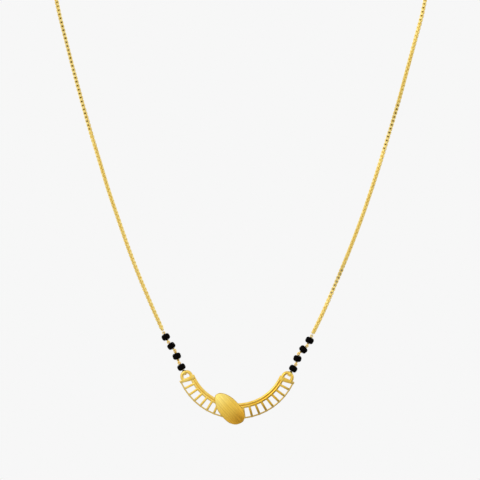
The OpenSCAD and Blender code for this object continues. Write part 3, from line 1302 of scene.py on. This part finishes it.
# %% The beads' finish
GLASS_TINTS = ((0.0005, 0.0004, 0.0004, 1), (0.003, 0.002, 0.002, 1))
GLASS_ROUGHNESS = (0.1, 0.2)
GLASS_PATCH_MM = 0.9
GLASS_WAVE_MM = 0.5
GLASS_WAVE_DEPTH_MM = 0.01
GLASS_SPECULAR = 0.02

black_glass = bpy.data.materials.new("black_glass")
glass = Recipe(black_glass)
where = glass.place()
cloud = glass.noise(where, GLASS_PATCH_MM)
glass.surface(
    Base_Color=glass.blend(cloud, *GLASS_TINTS),
    Roughness=glass.ramp(cloud, *CLOUDS, *GLASS_ROUGHNESS),
    Normal=glass.bump(glass.noise(where, GLASS_WAVE_MM), GLASS_WAVE_DEPTH_MM),
    Specular_IOR_Level=GLASS_SPECULAR,
)

# %% [markdown]
# ## Dressing the pieces
#
# Each piece gets its finish, rides on the one body of the necklace, and takes the place of its
# plain solid. The clasp and the two small rings at the nape are plain rings in the CAD part
# already, so those solids stay and only get the polished gold.

# %% Finishes, bodies and replaced solids
def dress(piece, material, node):
    if piece.data.materials:
        piece.data.materials[0] = material
    else:
        piece.data.materials.append(material)
    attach(piece, "root")
    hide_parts(node)


dress(pendant_frame, frame_gold, "pendant")
dress(leaf, satin_gold, "pendant")
# The rim's darker gold is painted shade
leaf.data.materials[1] = golds["rim_shade_gold"]
for side in WAY:
    dress(chains[side], golds["chain_gold"], f"chain_{side}")
for side, number in pins:
    pin_node = f"eye_pin_{side}_{number}"
    dress(pins[side, number], golds["pin_gold"], pin_node)
    dress(beads[side, number], black_glass, f"bead_{side}_{number}")
for name in ("clasp", "jump_ring_left", "jump_ring_right"):
    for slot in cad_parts[name].material_slots:
        slot.material = golds["polished_gold"]
print("dressed:", 2 + len(chains) + len(pins) + len(beads), "pieces")

# %% [markdown]
# ## The room that the gold reflects
#
# The camera sees an even, nearly white backdrop. Gold in an even white room would look like
# flat paint, so the reflections see another room: bright at the upper left, where the large
# lamp is, shading to a warm dark tone at the lower right, with a pale card at the far right.
# Behind the necklace it is light again, less so on the dark side, which pales the edges of
# the wires. The Light Path node tells the two rooms apart.

# %% World
BACKDROP = (0.9301, 0.9301, 0.9301, 1)
BRIGHT_SIDE = (0.98, 0.97, 0.94, 1)
DARK_SIDE = (0.13, 0.12, 0.09, 1)
TOWARDS_LAMP = Vector((-0.6, -0.2, 0.77))
TOWARDS_CARD = Vector((0.99, 0, -0.1))
BACKWARDS = Vector((0, 1, 0))
LAMP_SPREAD = (-0.75, 0.45)
CARD_SPREAD = (0.55, 0.92)
CARD_LIGHT = 0.8
BEHIND_SPREAD = (0.3, 0.95)
BEHIND_LEAST = 0.15
BEHIND_SHARE = 0.4

world = bpy.data.worlds.new("studio")
bpy.context.scene.world = world
room = Recipe(world)
looking = room.node("ShaderNodeTexCoord", output="Generated")
card = room.ramp(room.along(looking, TOWARDS_CARD), *CARD_SPREAD)
light = room.ramp(room.along(looking, TOWARDS_LAMP), *LAMP_SPREAD) + card * CARD_LIGHT
behind = room.ramp(room.along(looking, BACKWARDS), *BEHIND_SPREAD)
paled = behind * (light * BEHIND_SHARE + BEHIND_LEAST)
reflected = room.blend(paled, room.blend(light, DARK_SIDE, BRIGHT_SIDE), BACKDROP)
is_camera = room.node("ShaderNodeLightPath", output="Is Camera Ray")
seen = room.blend(is_camera, reflected, BACKDROP)
sky = room.node("ShaderNodeBackground", inputs={"Color": seen})
room.node("ShaderNodeOutputWorld", inputs={"Surface": sky})
print("nodes in the room:", len(room.tree.nodes))

# %% [markdown]
# ## Lamps
#
# Two soft boxes stand in front, a large one at the upper left and a weaker one at the right.
# They are what shows as the bright line along each wire.

# %% Soft boxes
PENDANT = Vector((-0.001, -0.0475, -0.147))
# Place, side of the square in metres, power in watts
SOFT_BOXES = {
    "upper_left_box": ((-0.55, -0.75, 0.4), 0.45, 1.0),
    "right_box": ((0.7, -0.6, 0.1), 0.25, 0.15),
}

for name, (place, size, watts) in SOFT_BOXES.items():
    aim = (PENDANT - Vector(place)).to_track_quat("-Z", "Y").to_euler()
    deselect_all()
    bpy.ops.object.light_add(type="AREA", location=place, rotation=aim)
    lamp = named(name)
    lamp.data.size = size
    lamp.data.energy = watts
    print(f"{name}: {watts} W")

# %% [markdown]
# ## Floor
#
# The necklace hangs free, so the floor is only there for a view from above. It is a pale disc
# that fades out towards its edge, so that no horizon shows.

# %% Floor
FLOOR_BELOW = 0.45
FLOOR_RADIUS = 0.7
FLOOR_SIDES = 96
FADES_FROM = 0.15
PAPER_TINTS = ((0.8, 0.8, 0.79, 1), (0.86, 0.86, 0.85, 1))
PAPER_PATCH_MM = 4
PAPER_ROUGHNESS = 0.8

deselect_all()
bpy.ops.mesh.primitive_circle_add(
    vertices=FLOOR_SIDES,
    radius=FLOOR_RADIUS,
    fill_type="NGON",
    location=(PENDANT.x, 0, PENDANT.z - FLOOR_BELOW),
)
floor = named("floor")
floor_paper = bpy.data.materials.new("floor_paper")
paper = Recipe(floor_paper)
where = paper.place()
paper.surface(
    Base_Color=paper.blend(paper.noise(where, PAPER_PATCH_MM), *PAPER_TINTS),
    Alpha=paper.ramp(paper.distance(where), FADES_FROM, FLOOR_RADIUS, 1.0, 0.0),
    Roughness=PAPER_ROUGHNESS,
)
floor.data.materials.append(floor_paper)
